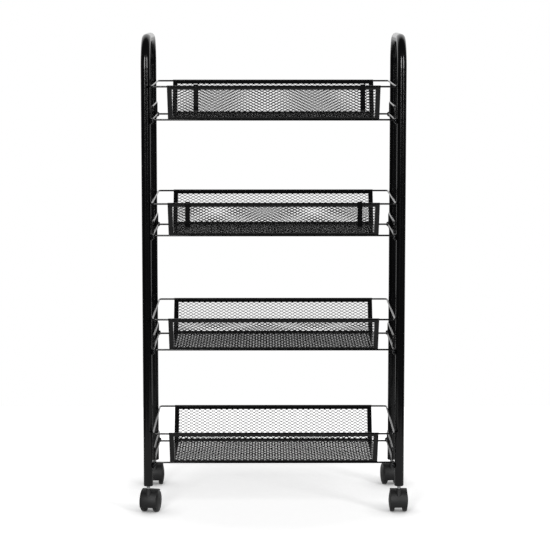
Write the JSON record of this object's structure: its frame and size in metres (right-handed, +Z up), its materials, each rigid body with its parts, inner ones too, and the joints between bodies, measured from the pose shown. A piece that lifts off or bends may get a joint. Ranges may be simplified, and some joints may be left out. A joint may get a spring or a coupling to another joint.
{
  "type": "rolling shelf unit",
  "caption": "Narrow rolling shelf unit with bent-tube side frames, leaning-walled expanded-mesh trays, strap hooks on the upper rims and twin-wheel swivel castors.",
  "frame": {"origin": "on the floor under the middle of the four posts", "axes": "+Z up, front faces -Y, +X to the right as seen from the front"},
  "size_m": [0.4684, 0.2768, 0.826],
  "materials": {
    "powder_coated_steel": "gloss black powder coat",
    "plated_steel": "bright zinc plate",
    "socket_plastic": "moulded, satin",
    "castor_plastic": "moulded nylon, satin",
    "wheel_plastic": "moulded nylon, semi-gloss"
  },
  "bodies": {
    "frame": {"left_side_frame": "powder_coated_steel", "right_side_frame": "powder_coated_steel", "tray_1_mesh": "powder_coated_steel", "tray_1_rim_bands": "powder_coated_steel", "tray_1_end_bands": "powder_coated_steel", "tray_1_top_wire": "powder_coated_steel", "tray_1_bottom_wire": "powder_coated_steel", "tray_1_end_guards": "powder_coated_steel", "tray_1_lugs": "powder_coated_steel", "tray_2_mesh": "powder_coated_steel", "tray_2_rim_bands": "powder_coated_steel", "tray_2_end_bands": "powder_coated_steel", "tray_2_top_wire": "powder_coated_steel", "tray_2_bottom_wire": "powder_coated_steel", "tray_2_end_guards": "powder_coated_steel", "tray_2_lugs": "powder_coated_steel", "tray_3_mesh": "powder_coated_steel", "tray_3_rim_bands": "powder_coated_steel", "tray_3_end_bands": "powder_coated_steel", "tray_3_top_wire": "powder_coated_steel", "tray_3_bottom_wire": "powder_coated_steel", "tray_3_end_guards": "powder_coated_steel", "tray_3_lugs": "powder_coated_steel", "tray_4_mesh": "powder_coated_steel", "tray_4_rim_bands": "powder_coated_steel", "tray_4_end_bands": "powder_coated_steel", "tray_4_top_wire": "powder_coated_steel", "tray_4_bottom_wire": "powder_coated_steel", "tray_4_end_guards": "powder_coated_steel", "tray_4_lugs": "powder_coated_steel", "tray_screws": "plated_steel", "castor_sockets": "socket_plastic", "castor_stems": "plated_steel"},
    "front_left_castor": {"front_left_castor_housing": "castor_plastic", "front_left_castor_axle": "plated_steel"},
    "front_left_left_wheel": {"front_left_castor_left_wheel": "wheel_plastic"},
    "front_left_right_wheel": {"front_left_castor_right_wheel": "wheel_plastic"},
    "front_right_castor": {"front_right_castor_housing": "castor_plastic", "front_right_castor_axle": "plated_steel"},
    "front_right_left_wheel": {"front_right_castor_left_wheel": "wheel_plastic"},
    "front_right_right_wheel": {"front_right_castor_right_wheel": "wheel_plastic"},
    "rear_left_castor": {"rear_left_castor_housing": "castor_plastic", "rear_left_castor_axle": "plated_steel"},
    "rear_left_left_wheel": {"rear_left_castor_left_wheel": "wheel_plastic"},
    "rear_left_right_wheel": {"rear_left_castor_right_wheel": "wheel_plastic"},
    "rear_right_castor": {"rear_right_castor_housing": "castor_plastic", "rear_right_castor_axle": "plated_steel"},
    "rear_right_left_wheel": {"rear_right_castor_left_wheel": "wheel_plastic"},
    "rear_right_right_wheel": {"rear_right_castor_right_wheel": "wheel_plastic"},
    "upper_left_strap_hook": {"upper_left_hook": "powder_coated_steel"},
    "upper_right_strap_hook": {"upper_right_hook": "powder_coated_steel"},
    "lower_left_strap_hook": {"lower_left_hook": "powder_coated_steel"},
    "lower_right_strap_hook": {"lower_right_hook": "powder_coated_steel"}
  },
  "joints": [
    {"name": "front_left_swivel", "type": "hinge", "parent": "frame", "child": "front_left_castor", "pos_m": [-0.217, -0.105, 0.045], "axis": [0, 0, 1], "continuous": true},
    {"name": "front_left_left_wheel_spin", "type": "hinge", "parent": "front_left_castor", "child": "front_left_left_wheel", "pos_m": [-0.21385, -0.09136, 0.019], "axis": [0.9744, -0.225, 0], "continuous": true},
    {"name": "front_left_right_wheel_spin", "type": "hinge", "parent": "front_left_castor", "child": "front_left_right_wheel", "pos_m": [-0.21385, -0.09136, 0.019], "axis": [0.9744, -0.225, 0], "continuous": true},
    {"name": "front_right_swivel", "type": "hinge", "parent": "frame", "child": "front_right_castor", "pos_m": [0.217, -0.105, 0.045], "axis": [0, 0, 1], "continuous": true},
    {"name": "front_right_left_wheel_spin", "type": "hinge", "parent": "front_right_castor", "child": "front_right_left_wheel", "pos_m": [0.217, -0.091, 0.019], "axis": [1, 0, 0], "continuous": true},
    {"name": "front_right_right_wheel_spin", "type": "hinge", "parent": "front_right_castor", "child": "front_right_right_wheel", "pos_m": [0.217, -0.091, 0.019], "axis": [1, 0, 0], "continuous": true},
    {"name": "rear_left_swivel", "type": "hinge", "parent": "frame", "child": "rear_left_castor", "pos_m": [-0.217, 0.105, 0.045], "axis": [0, 0, 1], "continuous": true},
    {"name": "rear_left_left_wheel_spin", "type": "hinge", "parent": "rear_left_castor", "child": "rear_left_left_wheel", "pos_m": [-0.217, 0.119, 0.019], "axis": [1, 0, 0], "continuous": true},
    {"name": "rear_left_right_wheel_spin", "type": "hinge", "parent": "rear_left_castor", "child": "rear_left_right_wheel", "pos_m": [-0.217, 0.119, 0.019], "axis": [1, 0, 0], "continuous": true},
    {"name": "rear_right_swivel", "type": "hinge", "parent": "frame", "child": "rear_right_castor", "pos_m": [0.217, 0.105, 0.045], "axis": [0, 0, 1], "continuous": true},
    {"name": "rear_right_left_wheel_spin", "type": "hinge", "parent": "rear_right_castor", "child": "rear_right_left_wheel", "pos_m": [0.21481, 0.11883, 0.019], "axis": [0.9877, 0.1564, 0], "continuous": true},
    {"name": "rear_right_right_wheel_spin", "type": "hinge", "parent": "rear_right_castor", "child": "rear_right_right_wheel", "pos_m": [0.21481, 0.11883, 0.019], "axis": [0.9877, 0.1564, 0], "continuous": true},
    {"name": "upper_left_hook_slide", "type": "slide", "parent": "frame", "child": "upper_left_strap_hook", "axis": [1, 0, 0], "range_m": [-0.04, 0.12]},
    {"name": "upper_right_hook_slide", "type": "slide", "parent": "frame", "child": "upper_right_strap_hook", "axis": [1, 0, 0], "range_m": [-0.14, 0.02]},
    {"name": "lower_left_hook_slide", "type": "slide", "parent": "frame", "child": "lower_left_strap_hook", "axis": [1, 0, 0], "range_m": [-0.025, 0.135]},
    {"name": "lower_right_hook_slide", "type": "slide", "parent": "frame", "child": "lower_right_strap_hook", "axis": [1, 0, 0], "range_m": [-0.136, 0.024]}
  ]
}
